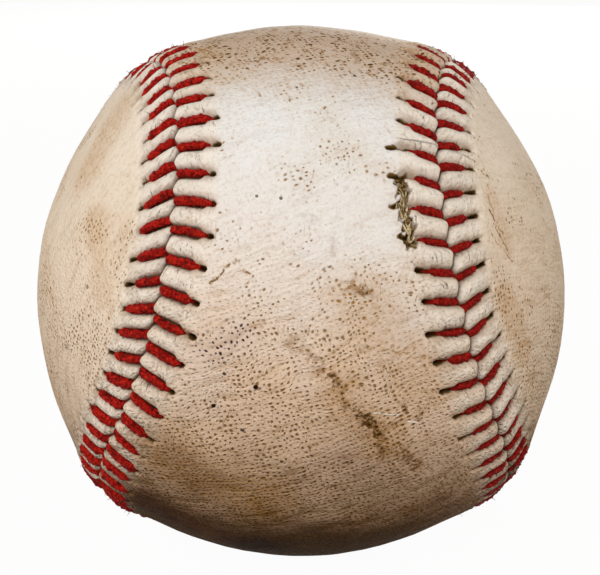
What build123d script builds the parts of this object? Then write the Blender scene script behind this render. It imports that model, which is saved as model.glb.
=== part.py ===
from build123d import *
from math import acos, atan2, ceil, cos, degrees, floor, radians, sin
import os

# A baseball. Two figure-eight leather panels are sewn round a wound yarn ball with two waxed threads.
# The origin is the centre of the ball, +Z is up as the ball lies, and -Y is the side towards the viewer.
# All sizes are millimetres and all angles degrees.

# Driving sizes of the cover
leather_radius = 36.4
leather_thickness = 1.3
waist_width = 32.66
seam_slope_angle = 80.4
lie_angle = 45
panel_far_angle = 60

# Driving sizes of the core, from the middle outwards
cork_radius = 10.3
black_rubber_thickness = 4.0
gasket_thickness = 0.8
red_rubber_thickness = 2.2
cement_thickness = 0.15
cotton_thickness = 0.45
grey_three_ply_thickness = 1.9
white_three_ply_thickness = 1.7
layer_clearance = 0.03

# Driving sizes of the sewing
half_stitch_count = 54
thread_width = 1.0
thread_thickness = 0.9
thread_clearance = 0.1
thread_bend = 0.4
hole_offset = 5.0
under_turn = 1.3
stitch_sink = 0.25

# Driving sizes of the welt, the ridge that the leather makes along the seam
welt_reach = 12.0
channel_margin = 0.4
edge_height = 1.7
seam_gap = 0.3
cut_overrun = 2.0

# Along the seam, as shares of the distance between two stitches
first_hole_share = 0.33
wide_panel_dive_share = 0.14
side_panel_dive_share = 0.46
under_turn_share = 0.1

# What follows from the driving sizes
stitch_count = 2 * half_stitch_count
leather_inside = leather_radius - leather_thickness
channel_height = thread_thickness + 2 * thread_clearance
channel_reach = hole_offset + thread_thickness / 2 + thread_clearance + channel_margin
groove_floor = leather_radius + channel_height - stitch_sink
over_radius = groove_floor + thread_clearance + thread_thickness / 2
under_radius = leather_inside + thread_clearance + thread_thickness / 2
slot_half = thread_thickness / 2 + thread_clearance
low_radius = leather_inside - cut_overrun
high_radius = leather_radius + edge_height + cut_overrun

os.makedirs("parts", exist_ok=True)


# Directions: across the near waist, out through its middle, and along the panel that it belongs to
across = Vector(1, 0, 0)
waist = Vector(0, -cos(radians(lie_angle)), sin(radians(lie_angle)))
along = waist.cross(across)
centre = Vector(0, 0, 0)


def turned(direction, axis, angle):
    return direction.rotate(Axis(centre, axis), angle)


# The seam is eight arcs on the ball: four tips, which are small circles round the ends of the panels,
# joined by four stretches of great circle. Every arc turns about an axis through the ball's centre.
waist_half = waist_width / 2 / leather_radius
slope = radians(seam_slope_angle)
tip_angle = atan2(
    cos(slope) * cos(waist_half) + sin(slope) / 2**0.5 * sin(waist_half),
    1 + cos(slope) * sin(waist_half) - sin(slope) / 2**0.5 * cos(waist_half),
)
tip_axis = waist * cos(waist_half + tip_angle) + across * sin(waist_half + tip_angle)
tip_middle = waist * cos(waist_half) + across * sin(waist_half)
stretch_axis = waist * cos(slope) + (across - along) * (sin(slope) / 2**0.5)
tip_end = (tip_axis - stretch_axis * tip_axis.dot(stretch_axis)).normalized()
crossing = (across + along) * (1 / 2**0.5)
tip_start = tip_end - along * (2 * tip_end.dot(along))


def angle_about(axis, first, second):
    flat_first = first - axis * first.dot(axis)
    flat_second = second - axis * second.dot(axis)
    return degrees(atan2(axis.dot(flat_first.cross(flat_second)), flat_first.dot(flat_second)))


tip_sweep = 2 * angle_about(tip_axis, tip_middle, tip_end)
stretch_sweep = 2 * angle_about(stretch_axis, tip_end, crossing)


def next_quarter(direction):
    """The seam repeats after a quarter turn about the waist and a flip through the middle plane."""
    return along * direction.dot(across) - across * direction.dot(along) - waist * direction.dot(waist)


# Each arc is its axis, its first direction, how far it turns, and its length on the leather.
seam_arcs = []
quarter = [(tip_axis, tip_start, tip_sweep), (stretch_axis, tip_end, stretch_sweep)]
for quarter_index in range(4):
    for arc_axis, arc_start, arc_sweep in quarter:
        ring_radius = leather_radius * arc_axis.cross(arc_start).length
        seam_arcs.append((arc_axis, arc_start, arc_sweep, radians(abs(arc_sweep)) * ring_radius))
    quarter = [(next_quarter(a), next_quarter(s), -sweep) for a, s, sweep in quarter]

seam_length = sum(arc_length for *_, arc_length in seam_arcs)
stitch_pitch = seam_length / stitch_count


def seam_at(distance):
    """The outward direction at a distance along the seam, and the way that the seam runs there."""
    distance = distance % seam_length
    for axis, start, sweep, length in seam_arcs:
        if distance <= length:
            break
        distance -= length
    outward = turned(start, axis, sweep * distance / length)
    forward = axis.cross(outward).normalized() * (1 if sweep > 0 else -1)
    return outward, forward


def seam_plane(distance):
    """A plane square to the seam: x to the wide panel, y straight out of the ball."""
    outward, forward = seam_at(distance)
    return Plane(centre, x_dir=outward.cross(forward), z_dir=forward)


def place(angle, radius, shift=0):
    """A point of such a plane: an angle from the seam, a radius, and a step square to that radius."""
    return (radius * sin(angle) + shift * cos(angle), radius * cos(angle) - shift * sin(angle))


# The core: a cork ball in two rubber half shells with a gasket between them, and a rubber jacket
shell_inside = cork_radius + layer_clearance
shell_outside = shell_inside + black_rubber_thickness
jacket_inside = shell_outside + layer_clearance
jacket_outside = jacket_inside + red_rubber_thickness

with BuildPart() as cork_core:
    Sphere(cork_radius)

half_shells = {}
for half_name, half_side in (("black_rubber_shell_upper", 1), ("black_rubber_shell_lower", -1)):
    rim_plane = Plane.XY.offset(half_side * (gasket_thickness / 2 + layer_clearance))
    with BuildPart() as half_shell:
        Sphere(shell_outside)
        Sphere(shell_inside, mode=Mode.SUBTRACT)
        split(bisect_by=rim_plane, keep=Keep.TOP if half_side > 0 else Keep.BOTTOM)
    half_shells[half_name] = half_shell

with BuildPart() as rubber_gasket:
    with BuildSketch(Plane.XY.offset(-gasket_thickness / 2)):
        Circle((shell_outside**2 - (gasket_thickness / 2) ** 2) ** 0.5)
        Circle(shell_inside, mode=Mode.SUBTRACT)
    extrude(amount=gasket_thickness)

with BuildPart() as red_rubber_jacket:
    Sphere(jacket_outside)
    Sphere(jacket_inside, mode=Mode.SUBTRACT)

# The windings, from the cover inwards, so that the first and thickest one fills what is left
cement_outside = leather_inside - layer_clearance
cotton_outside = cement_outside - cement_thickness - layer_clearance
grey_three_ply_outside = cotton_outside - cotton_thickness - layer_clearance
white_three_ply_outside = grey_three_ply_outside - grey_three_ply_thickness - layer_clearance
grey_four_ply_outside = white_three_ply_outside - white_three_ply_thickness - layer_clearance
layer_sizes = {
    "winding_1_grey_four_ply_wool": (grey_four_ply_outside, jacket_outside + layer_clearance),
    "winding_2_white_three_ply_wool": (
        white_three_ply_outside,
        white_three_ply_outside - white_three_ply_thickness,
    ),
    "winding_3_grey_three_ply_wool": (
        grey_three_ply_outside,
        grey_three_ply_outside - grey_three_ply_thickness,
    ),
    "winding_4_white_cotton": (cotton_outside, cotton_outside - cotton_thickness),
    "cement_coat": (cement_outside, cement_outside - cement_thickness),
}
layers = {}
for layer_name, (layer_outside, layer_inside) in layer_sizes.items():
    with BuildPart() as layer:
        Sphere(layer_outside)
        Sphere(layer_inside, mode=Mode.SUBTRACT)
    layers[layer_name] = layer


def arm(station, side):
    """The plane of one stitch, through the ball's centre, and the angle from its dive to its hole.

    x runs from the seam to the hole and y straight out where the thread dives between the panels.
    """
    hole_place = (first_hole_share - station) * stitch_pitch
    dive_share = wide_panel_dive_share if side > 0 else side_panel_dive_share
    outward, forward = seam_at(hole_place)
    to_hole = outward.cross(forward) * side
    hole = outward * cos(hole_offset / leather_radius) + to_hole * sin(hole_offset / leather_radius)
    dive, _ = seam_at(hole_place - dive_share * stitch_pitch)
    reach = hole - dive * hole.dot(dive)
    return Plane(centre, x_dir=reach, z_dir=reach.cross(dive)), acos(hole.dot(dive))


# The cover is the same after half a turn about the waist, so half of it is made and turned for the rest.
# That half is a quarter and its mirror image. In a quarter of the seam, half a tip leads to a stretch and
# the stretch to half of the next tip. The leather beside each is a profile turned about the arc's axis,
# from the seam to the middle of the panel: plain first, then rising in the welt, then rolling to its edge.
tip_length = seam_arcs[0][3]
stretch_length = seam_arcs[1][3]
first_half_tip = (tip_length / 2, seam_arcs[0][0], seam_arcs[0][2] / 2)
whole_stretch = (tip_length, seam_arcs[1][0], seam_arcs[1][2])
second_half_tip = (tip_length + stretch_length, seam_arcs[2][0], seam_arcs[2][2] / 2)

half_panels = []
for side, middle_normal, outer_tip, inner_tip in (
    (1, across, first_half_tip, second_half_tip),
    (-1, along, second_half_tip, first_half_tip),
):
    zones = []
    foot = side * welt_reach / leather_radius
    rise = side * channel_reach / leather_radius
    edge = side * seam_gap / 2 / leather_radius
    for (arc_from, arc_axis, arc_sweep), far_angle, passes_middle in (
        (outer_tip, side * radians(panel_far_angle), True),
        (whole_stretch, side * radians(panel_far_angle), True),
        (inner_tip, side * tip_angle, False),
    ):
        with BuildPart() as zone:
            with BuildSketch(seam_plane(arc_from)):
                with BuildLine():
                    ends = []
                    for skin in (leather_radius, leather_inside):
                        plain_arc = ThreePointArc(
                            place(far_angle, skin), place((far_angle + foot) / 2, skin), place(foot, skin)
                        )
                        rise_arc = TangentArc(
                            plain_arc @ 1, place(rise, skin + channel_height), tangent=plain_arc % 1
                        )
                        roll_arc = TangentArc(
                            rise_arc @ 1, place(edge, skin + edge_height), tangent=rise_arc % 1
                        )
                        ends.append((plain_arc @ 0, roll_arc @ 1))
                    Line(ends[0][0], ends[1][0])
                    Line(ends[0][1], ends[1][1])
                make_face()
            revolve(axis=Axis(centre, arc_axis), revolution_arc=arc_sweep)
            if passes_middle:
                split(bisect_by=Plane(centre, z_dir=middle_normal), keep=Keep.TOP)
        zones.append(zone)
    with BuildPart() as half_panel:
        for zone in zones:
            add(zone.part, clean=False)
        add(mirror(half_panel.part, about=Plane(centre, z_dir=along), mode=Mode.PRIVATE), clean=False)
    half_panels.append(half_panel)

# Each stitch has a hole, a groove from it to the seam and a notch where it dives between the panels.
seam_high = tip_length + stretch_length + tip_length / 2
seam_low = seam_high - seam_length / 2
first_station = floor(first_hole_share - seam_high / stitch_pitch) - 1
last_station = ceil(first_hole_share - seam_low / stitch_pitch) + 1

with BuildPart() as half_cover:
    for half_panel in half_panels:
        add(half_panel.part)
    for station in range(first_station, last_station + 1):
        for side in (1, -1):
            arm_plane, hole_angle = arm(station, side)
            with BuildSketch(arm_plane):
                with BuildLine():
                    Polyline(
                        place(hole_angle, low_radius, slot_half),
                        place(hole_angle, high_radius, slot_half),
                        place(0, high_radius, -slot_half),
                        place(0, low_radius, -slot_half),
                        place(0, low_radius, slot_half),
                        place(0, groove_floor, slot_half),
                        place(hole_angle, groove_floor, -slot_half),
                        place(hole_angle, low_radius, -slot_half),
                        close=True,
                    )
                make_face()
    extrude(amount=thread_width / 2 + thread_clearance, both=True, mode=Mode.SUBTRACT, clean=False)

# The two panels: one has its waist towards the viewer, the other holds the two sides
panels = {}
for panel_name, panel_middle in (("cover_panel_waist", waist), ("cover_panel_sides", -waist)):
    panel_half = half_cover.solids().sort_by_distance(panel_middle * leather_radius)[0]
    with BuildPart() as panel:
        add(panel_half)
        add(panel_half.rotate(Axis(centre, waist), 180), clean=False)
    panels[panel_name] = panel


# Each thread goes up through a hole, over to the seam, down between the panels, and under the other
# panel to its next hole. The two threads take turns at the holes of each panel.
def stitch_points(station, side):
    """The points of one stitch on the thread's middle line, each with the way that the seam runs."""
    arm_plane, hole_angle = arm(station, side)
    flat_points = [
        place(hole_angle, under_radius, -thread_bend),
        place(hole_angle, under_radius + thread_bend),
        place(hole_angle, over_radius - thread_bend),
        place(hole_angle, over_radius, -thread_bend),
        place(0, over_radius, thread_bend),
        place(0, over_radius - thread_bend),
        place(0, under_radius + thread_bend),
        place(0, under_radius, -thread_bend),
    ]
    dive_share = wide_panel_dive_share if side > 0 else side_panel_dive_share
    hole_place = (first_hole_share - station) * stitch_pitch
    outward, forward = seam_at(hole_place - (dive_share + under_turn_share) * stitch_pitch)
    away = outward.cross(forward) * -side
    turn_angle = under_turn / leather_radius
    points = [arm_plane.from_local_coords(point) for point in flat_points]
    points.append((outward * cos(turn_angle) + away * sin(turn_angle)) * under_radius)
    return [(Vector(point), forward) for point in points]


threads = {}
for thread_name, first_side in (("thread_one", 1), ("thread_two", -1)):
    route = []
    for station in range(stitch_count):
        route += stitch_points(station, first_side if station % 2 == 0 else -first_side)
    runs = [(later - earlier).normalized() for (earlier, _), (later, _) in zip(route, route[1:])]
    with BuildPart() as thread:
        for index, (point, forward) in enumerate(route):
            way = (runs[max(index - 1, 0)] + runs[min(index, len(runs) - 1)]) * 0.5
            level = forward - way * (forward.dot(way) / way.dot(way))
            with BuildSketch(Plane(point, x_dir=level, z_dir=way)):
                Rectangle(thread_width, thread_thickness / way.length)
        loft(ruled=True)
    threads[thread_name] = thread

pieces = {
    "cork_core": cork_core,
    **half_shells,
    "rubber_gasket": rubber_gasket,
    "red_rubber_jacket": red_rubber_jacket,
    **layers,
    **panels,
    **threads,
}
for piece_name, piece in pieces.items():
    piece.part.label = piece_name
    export_step(piece.part, f"parts/{piece_name}.step")
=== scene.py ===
# %% [markdown]
# # A worn baseball
# A baseball is two figure-eight pieces of white leather, sewn edge to edge round a wound ball with two
# red waxed threads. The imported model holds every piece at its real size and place. This lesson gives the
# cover and the threads their true shapes, and every piece its finish. The ball lies on a pale floor and
# is seen a little from above.

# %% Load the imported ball
import functools
import math
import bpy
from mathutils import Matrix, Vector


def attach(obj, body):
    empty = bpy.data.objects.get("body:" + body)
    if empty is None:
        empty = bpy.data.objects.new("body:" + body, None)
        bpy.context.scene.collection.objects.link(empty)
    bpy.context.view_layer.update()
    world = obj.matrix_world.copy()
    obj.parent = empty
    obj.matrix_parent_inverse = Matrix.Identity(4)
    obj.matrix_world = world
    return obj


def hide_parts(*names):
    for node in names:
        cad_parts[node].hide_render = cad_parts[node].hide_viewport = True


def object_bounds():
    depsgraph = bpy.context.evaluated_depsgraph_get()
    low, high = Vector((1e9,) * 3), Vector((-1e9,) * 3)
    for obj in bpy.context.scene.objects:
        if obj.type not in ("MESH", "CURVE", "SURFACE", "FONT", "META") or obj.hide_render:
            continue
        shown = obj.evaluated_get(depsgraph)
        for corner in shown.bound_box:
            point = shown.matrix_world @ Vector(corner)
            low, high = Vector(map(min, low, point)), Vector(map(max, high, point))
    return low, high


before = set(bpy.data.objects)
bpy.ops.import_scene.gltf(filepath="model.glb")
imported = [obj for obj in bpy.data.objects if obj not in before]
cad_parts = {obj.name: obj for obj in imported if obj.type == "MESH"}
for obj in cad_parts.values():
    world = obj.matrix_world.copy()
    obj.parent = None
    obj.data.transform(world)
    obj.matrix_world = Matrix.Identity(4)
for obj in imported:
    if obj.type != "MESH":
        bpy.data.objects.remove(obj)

import types

import bpy
import numpy as np
from mathutils import Matrix

mm = 0.001
cad_box = [list(corner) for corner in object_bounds()]
ball_bottom = cad_box[0][2]
print("packed ball, mm:", [round((high - low) / mm, 2) for low, high in zip(*cad_box)])

# %% [markdown]
# ## The camera
# A camera that is eight radii away gives the photograph's gentle perspective. The ball's outline in the
# picture gives the lens, and the two seams give the angle. The camera looks at the ball's centre, and a
# small shift puts that centre on its pixel.

# %% Place the camera
leather_radius = 36.4
view_distance = 8 * leather_radius
view_azimuth, view_elevation, view_roll = -1.77, 12.72, 0.17
picture_wide, picture_high = 600, 575
ball_pixel = (301.0, 292.5)
ball_pixel_radius = 264.0
sensor_width = 36.0
focal_pixels = ball_pixel_radius * math.sqrt((view_distance / leather_radius) ** 2 - 1)

turn, lift, roll = (math.radians(angle) for angle in (view_azimuth, view_elevation, view_roll))
view_back = np.array((math.sin(turn) * math.cos(lift), -math.cos(turn) * math.cos(lift), math.sin(lift)))
level_right = np.array((math.cos(turn), math.sin(turn), 0))
level_up = np.cross(view_back, level_right)
view_right = level_right * math.cos(roll) + level_up * math.sin(roll)
view_up = level_up * math.cos(roll) - level_right * math.sin(roll)

bpy.ops.object.camera_add()
camera = bpy.context.object
camera.name = "camera"
place = Matrix.Identity(4)
for row in range(3):
    place[row][0], place[row][1], place[row][2] = view_right[row], view_up[row], view_back[row]
    place[row][3] = view_back[row] * view_distance * mm
camera.matrix_world = place
camera.data.sensor_width = sensor_width
camera.data.lens = focal_pixels / picture_wide * sensor_width
camera.data.shift_x = (picture_wide / 2 - ball_pixel[0]) / picture_wide
camera.data.shift_y = (ball_pixel[1] - picture_high / 2) / picture_wide
bpy.context.scene.camera = camera
print("lens, mm:", round(camera.data.lens, 1))

# %% Find the leather under a pixel
mark_raise = 0.4


def unit(direction):
    """A direction made one long."""
    return direction / np.linalg.norm(direction)


def leather_under(pixel, raised=mark_raise):
    """The point of the leather, in mm from the ball's centre, that a pixel of the picture shows."""
    right = (pixel[0] - ball_pixel[0]) / focal_pixels
    up = (ball_pixel[1] - pixel[1]) / focal_pixels
    ray = unit(np.array((right, up, -1)))
    to_middle = -ray[2] * view_distance
    inside = max((leather_radius + raised) ** 2 - view_distance**2 + to_middle**2, 0)
    seen = ray * (to_middle - math.sqrt(inside)) + np.array((0, 0, view_distance))
    return view_right * seen[0] + view_up * seen[1] + view_back * seen[2]


print("leather at the ball's pixel, mm:", leather_under(ball_pixel).round(1))

# %% [markdown]
# ## The seam
# The seam is one closed line of eight arcs on the ball: four round the tips of the panels and four
# stretches that join them. Everything on the cover is placed from it, by a distance along it and a
# distance to one side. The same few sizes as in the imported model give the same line.

# %% Draw the seam line
waist_width = 32.66
seam_slope = math.radians(80.4)
lie = math.radians(45)
stitch_count = 108

across = np.array((1.0, 0, 0))
waist = np.array((0, -math.cos(lie), math.sin(lie)))
along = np.cross(waist, across)


def turn_between(axis, first, second):
    """The angle from one direction to another, seen along an axis."""
    flat_first = first - axis * first.dot(axis)
    flat_second = second - axis * second.dot(axis)
    return math.atan2(axis.dot(np.cross(flat_first, flat_second)), flat_first.dot(flat_second))


def next_quarter(direction):
    """Where a direction goes in the seam's next quarter: a quarter turn round, and upside down."""
    return along * direction.dot(across) - across * direction.dot(along) - waist * direction.dot(waist)


diagonal = math.sqrt(0.5)
waist_half = waist_width / 2 / leather_radius
tip_angle = math.atan2(
    math.cos(seam_slope) * math.cos(waist_half) + math.sin(seam_slope) * diagonal * math.sin(waist_half),
    1 + math.cos(seam_slope) * math.sin(waist_half) - math.sin(seam_slope) * diagonal * math.cos(waist_half),
)
tip_axis = waist * math.cos(waist_half + tip_angle) + across * math.sin(waist_half + tip_angle)
tip_middle = waist * math.cos(waist_half) + across * math.sin(waist_half)
stretch_axis = waist * math.cos(seam_slope) + (across - along) * math.sin(seam_slope) * diagonal
tip_end = unit(tip_axis - stretch_axis * tip_axis.dot(stretch_axis))
tip_start = tip_end - along * 2 * tip_end.dot(along)
tip_sweep = 2 * turn_between(tip_axis, tip_middle, tip_end)
stretch_sweep = 2 * turn_between(stretch_axis, tip_end, (across + along) * diagonal)

seam_arcs = []
quarter = [(tip_axis, tip_start, tip_sweep), (stretch_axis, tip_end, stretch_sweep)]
for _ in range(4):
    for axis, start, sweep in quarter:
        ring = leather_radius * np.linalg.norm(np.cross(axis, start))
        seam_arcs.append((axis, start, sweep, abs(sweep) * ring))
    quarter = [(next_quarter(axis), next_quarter(start), -sweep) for axis, start, sweep in quarter]
tip_length = seam_arcs[0][3]
seam_length = sum(arc[3] for arc in seam_arcs)
pitch = seam_length / stitch_count
print("seam, mm:", round(seam_length, 2), "stitch pitch, mm:", round(pitch, 3))


# %% Go along the seam
def seam_at(distance):
    """Outward and forward directions of the seam at distances in mm along it, one row each."""
    distance = np.atleast_1d(distance) % seam_length
    outward, forward = np.zeros((2, len(distance), 3))
    passed = 0.0
    for axis, start, sweep, length in seam_arcs:
        here = (distance >= passed) & (distance <= passed + length)
        angle = (sweep * (distance[here] - passed) / length)[:, None]
        level = axis * axis.dot(start)
        flat = start - level
        outward[here] = level + np.cos(angle) * flat + np.sin(angle) * np.cross(axis, flat)
        forward[here] = np.sign(sweep) * np.cross(axis, outward[here]) / np.linalg.norm(flat)
        passed += length
    return outward, forward


seam_step = 0.5
seam_steps = np.arange(0, seam_length, seam_step)
seam_outward = seam_at(seam_steps)[0]
seam_rights = seam_outward[:, 0]
seam_ups = seam_outward @ view_up
print("steps along the seam:", len(seam_steps))

# %% [markdown]
# ## The pull of each stitch
# Every stitch comes up through a hole, lies across the leather and goes down between the two edges. It
# presses a groove, and the leather between two stitches puffs up into a rounded finger. No two stitches
# are alike, so each one gets its own small random differences, from a seeded generator. The left seam of
# this ball carries fat, proud thread, and the right one thinner, sunken thread.

# %% Set how stitches lie
waist_side, other_side = 1, -1
sides = (waist_side, other_side)
first_hole_share = 0.33
sunk_dive_share = {waist_side: 0.33, other_side: 0.3}
proud_dive_share = {waist_side: 0.14, other_side: 0.46}
sunk_hole_shift_share = {waist_side: 0.0, other_side: -0.3}
hole_row = {waist_side: 4.85, other_side: 4.45}
drift_places = np.array([-10.0, 50.0, 215.0, 283.0, seam_length - 10.0])
drift_shares = np.array([0.38, -0.15, 0.5, 0.05, 0.38])
dice = np.random.default_rng(54)
hole_off = {side: hole_row[side] + dice.uniform(-0.3, 0.35, stitch_count) for side in sides}
slit_length = {side: dice.uniform(0.1, 0.6, stitch_count) for side in sides}
dip_shift = {side: dice.uniform(-0.35, 0.35, stitch_count) for side in sides}
lean = {side: dice.uniform(-0.15, 0.15, stitch_count) for side in sides}
puff_size = {side: dice.uniform(0.84, 1.14, stitch_count) for side in sides}
print("hole rows, mm from the seam:", [round(float(hole_off[side].mean()), 2) for side in sides])

# %% Tell fat stitches from thin ones
proud_fade_share = 0.5
fat_ends_share = 0.85
fat_top_shares, fat_low_shares = (0.42, 0.75), (0.4, 0.65)


def ramp(low, high, value):
    """0 below low, 1 above high, and a smooth step between."""
    share = np.clip((value - low) / (high - low), 0, 1)
    return share * share * (3 - 2 * share)


def proud(distance):
    """1 where the thread lies fat and proud, on the left of the ball, and 0 where it is thin and sunk."""
    right = np.interp(distance, seam_steps, seam_rights, period=seam_length)
    return 0.5 - 0.5 * np.clip(right / proud_fade_share, -1, 1)


def swell(distance):
    """As proud, but the thread is also fat near the top and the bottom of the picture, on both seams."""
    up = np.interp(distance, seam_steps, seam_ups, period=seam_length)
    ends = np.maximum(ramp(*fat_top_shares, up), ramp(*fat_low_shares, -up))
    return np.maximum(proud(distance), fat_ends_share * ends)


print("share of the seam with fat thread:", round(float(swell(seam_steps).mean()), 2))

# %% Lay the stitches across the leather
dip_row, dip_row_more = 3.2, {waist_side: 0.65, other_side: 0.3}


def stitch_drift(side, distance):
    """The sewer's hand drifts: stitches are ahead of or behind an even spacing by this share of a pitch."""
    drift = np.interp(distance, drift_places, drift_shares, period=seam_length)
    return drift + sunk_hole_shift_share[side] * (1 - proud(distance))


def slant(side, distance, off):
    """How far along the seam a stitch has gone from its hole at a distance from the seam, in pitches."""
    fat = proud(distance)
    return (proud_dive_share[side] * fat + sunk_dive_share[side] * (1 - fat)) * (1 - off / hole_row[side])


def dip_off(side, station, distance):
    """How far from the seam a thread dives out of sight under the puffed leather, mm."""
    return dip_row + dip_row_more[side] * swell(distance) + dip_shift[side][station]


def across_stitch(side, distance, off):
    """The nearest stitch, the finger beside it, and the distances to its line and of the hole row, mm."""
    place = distance / pitch - first_hole_share - stitch_drift(side, distance) + slant(side, distance, off)
    number = np.rint(place)
    station = (-number).astype(int) % stitch_count
    puff = (-np.floor(place)).astype(int) % stitch_count
    share = place - number
    beside = (-(number + np.sign(share))).astype(int) % stitch_count
    row = hole_off[side][station] * (1 - np.abs(share)) + hole_off[side][beside] * np.abs(share)
    return station, puff, share * pitch - lean[side][station], row


print("threads dive, mm from the seam:", [dip_row + dip_row_more[side] for side in sides])

# %% [markdown]
# ## The leather panels
# One panel is a flat figure-eight of leather about 1.3 mm thick, stretched round half the ball. It could
# be cut from a sphere, but then the fine fingers at the seam would need a mesh that is far too heavy all
# over. A grid that is wrapped along the seam puts its small squares where the stitches are: its columns
# follow the seam, and its rows run from the panel's middle line out to the edge, round the edge, and back
# along the inside. The doubles on the middle line are then merged, which closes the panel. The leather
# rises to the seam on a broad skirt, and a narrower welt stands on that.

# %% Lay out the rows of a panel
leather_thickness = 1.3
column_count = 1728
band_rows = np.array(
    [0.06, 0.2, 0.4, 0.65, 0.95, 1.3, 1.65, 2.0, 2.35, 2.7, 3.05, 3.4, 3.75, 4.1, 4.4, 4.7, 5.0]
    + [5.3, 5.6, 5.9, 6.2, 6.55, 7.0, 7.6, 8.4]
)
edge_off, band_end = band_rows[0], band_rows[-1]
middle_shares = np.array([1.0, 0.9, 0.78, 0.66, 0.54, 0.42, 0.3, 0.2, 0.1])
edge_shares = np.array([0.35, 0.7])
inner_offs = np.array([0.2, 1.5, 3.5, 6.0, band_end])
inner_shares = np.array([0.25, 0.5, 0.75, 1.0])
# for each stretch of rows: distance from the seam, share of the way on to the middle line, share inwards
row_stretches = (
    (band_end, middle_shares, 0),
    (band_rows[::-1], 0, 0),
    (edge_off, 0, edge_shares),
    (inner_offs, 0, 1),
    (band_end, inner_shares, 1),
)
row_off, row_share, row_inward = np.concatenate(
    [np.stack(np.broadcast_arrays(*stretch)) for stretch in row_stretches], axis=1
)
print("rows of a panel:", len(row_off), "columns:", column_count)

# %% Raise the leather to the seam
skirt_rise, skirt_half, skirt_power, middle_drop = 1.4, 10.5, 2.6, 0.2
welt_rise, welt_half, welt_power = 0.9, 5.6, 2.7
widest_reach = 23.0
lump_count, lump_lengths, lump_height = 14, (6, 26), 0.022


def welt_height(off, reach=widest_reach):
    """How far the leather stands above the plain ball, mm; the skirt is level at the panel's middle."""
    levelled = off - off**2 / 2 / reach
    skirt = skirt_rise * np.exp(-((levelled / skirt_half) ** skirt_power)) - middle_drop
    return skirt + welt_rise * np.exp(-((off / welt_half) ** welt_power))


lump_waves = dice.normal(size=(lump_count, 3))
lump_turns = 2 * math.pi / dice.uniform(*lump_lengths, lump_count)
lump_waves *= (lump_turns / np.linalg.norm(lump_waves, axis=1))[:, None]
lump_starts = dice.uniform(0, 2 * math.pi, lump_count)


def lumps(points):
    """Soft unevenness of stretched leather over yarn, mm."""
    return lump_height * np.cos(points @ lump_waves.T + lump_starts).sum(-1)


print("welt over the plain ball, mm:", round(float(welt_height(0.0)), 2))

# %% Draw the tear and the pits
tear_row = 5.0
tear_pixels = [
    (401, 177), (403, 184), (405, 195), (404, 204), (406, 214), (409, 222), (410, 232), (411, 244),
]
pit_pixels = [
    [(389, 145), (398, 146), (409, 148)], [(391, 174), (398, 175), (409, 175)], [(394, 205), (404, 203)],
    [(402, 236), (411, 238)],
]
tear_half, tear_half_more, tear_depth = 0.8, 0.24, 0.7
flap_off, flap_half, flap_height, flap_end = 1.05, 0.45, 0.34, 5.6
flap_share, flap_share_more = 0.55, 0.3
pit_half, pit_half_more = 0.44, 0.07
pit_clear, hole_clear = 1.1, 1.9
along_turn, along_bend, off_turn, off_bend, ragged_bend = 4.7, 3.1, 5.3, 3.9, 2


def laid_on_leather(pixels):
    """A line on the puffed leather under several pixels of the picture, mm."""
    return np.array([leather_under(pixel, welt_height(tear_row)) for pixel in pixels])


def away_from_line(points, line):
    """Distance of points from a line of several runs, mm."""
    nearest = np.full(points.shape[:-1], np.inf)
    for first, second in zip(line[:-1], line[1:]):
        run = second - first
        share = np.clip(((points - first) @ run) / run.dot(run), 0, 1)
        nearest = np.minimum(nearest, np.linalg.norm(points - first - share[..., None] * run, axis=-1))
    return nearest


def raggedness(distance, off):
    """An uneven pattern from -2 to 2 that changes within about a millimetre."""
    along_seam = np.cos(distance * along_turn + ragged_bend * np.cos(off * off_bend))
    return along_seam + np.cos(off * off_turn + ragged_bend * np.cos(distance * along_bend))


def torn_leather(direction, distance, off):
    """How much of a place is tear, raised flap and pit, and how clear of a pit it is."""
    laid = direction * np.linalg.norm(tear_line[0])
    ragged = raggedness(distance, off)
    torn_off = away_from_line(laid, tear_line)
    tear = np.exp(-((torn_off / (tear_half + tear_half_more * ragged)) ** 2))
    flap = np.exp(-(((torn_off - flap_off) / flap_half) ** 2)) * (flap_share + flap_share_more * ragged)
    pit_off = np.min([away_from_line(laid, line) for line in pit_lines], axis=0)
    pit = np.exp(-((pit_off / (pit_half + pit_half_more * ragged)) ** 2))
    return tear, flap * (off < flap_end), pit, ramp(pit_clear, hole_clear, pit_off)


tear_line = laid_on_leather(tear_pixels)
pit_lines = [laid_on_leather(pixels) for pixels in pit_pixels]
print("tear, mm:", round(float(np.linalg.norm(np.diff(tear_line, axis=0), axis=1).sum()), 1))

# %% Shape the fingers, grooves and holes
push_half, push = 0.8, 0.42
groove_half, fat_groove_more, pinch_half_share = 0.32, 0.26, 0.92
groove_depth, fat_depth_less, pinch_depth_less = 1.55, 0.3, 0.25
pinch_before, pinch_after, pinch_clean_share = 0.35, 0.45, 0.35
finger_half, fat_finger_less, edge_round = 1.5, 0.3, 1.0
show_before, show_after = 0.4, 1.3
slit_before, thin_slit_more, slit_full = 0.45, 0.75, 0.1
slit_half, slit_half_more, slit_fade, slit_fade_in = 0.2, 0.12, 0.35, 0.3
mouth_half, mouth_back, mouth_power = 0.34, 0.1, 1.5
hole_depth = 0.55
lip_off, lip_half, lip_height = 0.62, 0.26, 0.16
valley_near, valley_far = 0.1, 1.5


def seam_shift(distance):
    """The edges meet in a zigzag: each finger of one panel pushes into the groove end of the other, mm."""
    pushes = []
    for side in sides:
        gap = across_stitch(side, distance, np.zeros_like(distance))[2]
        pushes.append(np.exp(-((gap / push_half) ** 2)))
    return push * (pushes[0] - pushes[1])


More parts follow.
